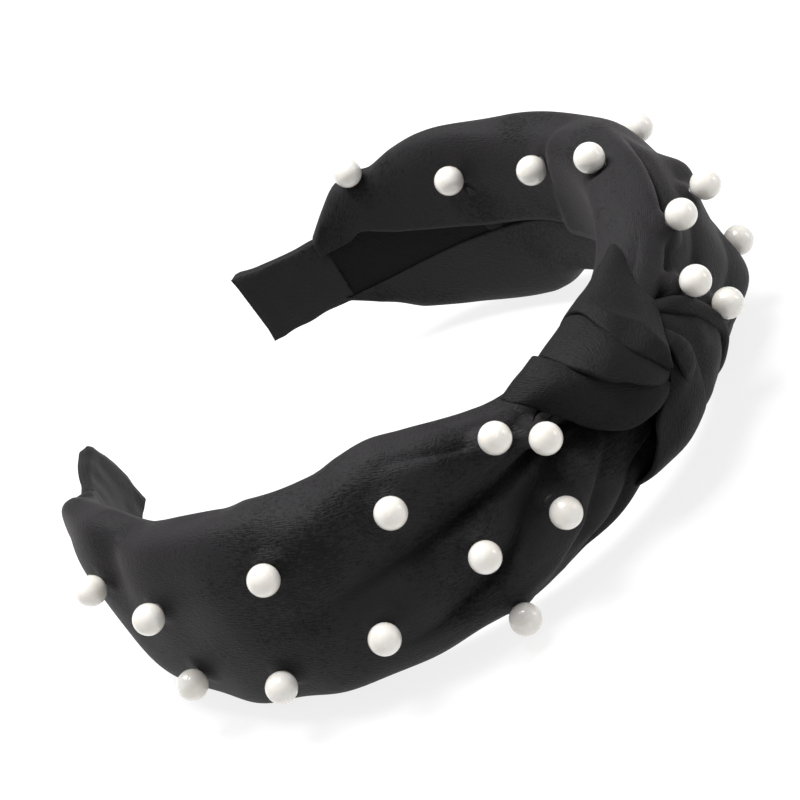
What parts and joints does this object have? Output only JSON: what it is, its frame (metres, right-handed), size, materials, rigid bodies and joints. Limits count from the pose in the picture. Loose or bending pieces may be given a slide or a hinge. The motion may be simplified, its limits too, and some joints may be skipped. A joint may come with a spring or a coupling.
{
  "type": "knotted headband",
  "caption": "Arched fabric headband on a springy moulded hoop, with padded pleated covers that meet in a twisted knot over the crown, pearl bead trim and turned-in tips.",
  "frame": {"origin": "centre of the crown arc at mid width, which is the axis of the head clamp", "axes": "+Z across the band's width, towards its upper edge as it lies on its lower edge; the crown and its knot face -Y and the tips point +Y; +X is the right leg"},
  "size_m": [0.1702, 0.1596, 0.0551],
  "materials": {
    "hoop": "moulded plastic, hidden by the fabric",
    "lining": "matt woven ribbon",
    "cover": "soft matt crepe with a faint sheen",
    "knot": "soft matt crepe with a faint sheen",
    "bead": "pearl lacquer",
    "tack": "plated"
  },
  "bodies": {
    "crown": {"hoop_crown": "hoop", "lining_crown": "lining", "knot_loop_left": "knot", "knot_loop_right": "knot"},
    "left_leg": {"hoop_left_leg": "hoop", "lining_left_leg": "lining", "tip_wrap_left": "cover", "cover_left": "cover", "bead_tacks_left": "tack", "bead_left_1": "bead", "bead_left_2": "bead", "bead_left_3": "bead", "bead_left_4": "bead", "bead_left_5": "bead", "bead_left_6": "bead", "bead_left_7": "bead", "bead_left_8": "bead", "bead_left_9": "bead", "bead_left_10": "bead", "bead_left_11": "bead", "bead_left_12": "bead"},
    "right_leg": {"hoop_right_leg": "hoop", "lining_right_leg": "lining", "tip_wrap_right": "cover", "cover_right": "cover", "bead_tacks_right": "tack", "bead_right_1": "bead", "bead_right_2": "bead", "bead_right_3": "bead", "bead_right_4": "bead", "bead_right_5": "bead", "bead_right_6": "bead", "bead_right_7": "bead", "bead_right_8": "bead", "bead_right_9": "bead", "bead_right_10": "bead", "bead_right_11": "bead", "bead_right_12": "bead", "bead_right_13": "bead", "bead_right_14": "bead", "bead_right_15": "bead"}
  },
  "joints": [
    {"name": "left_flex", "type": "hinge", "parent": "crown", "child": "left_leg", "pos_m": [-0.01448, -0.0627, 0], "axis": [0, 0, 1], "range_deg": [-4, 15], "stiffness_Nm_per_rad": 1.4},
    {"name": "right_flex", "type": "hinge", "parent": "crown", "child": "right_leg", "pos_m": [0.01448, -0.0627, 0], "axis": [0, 0, -1], "range_deg": [-4, 15], "stiffness_Nm_per_rad": 1.4}
  ]
}
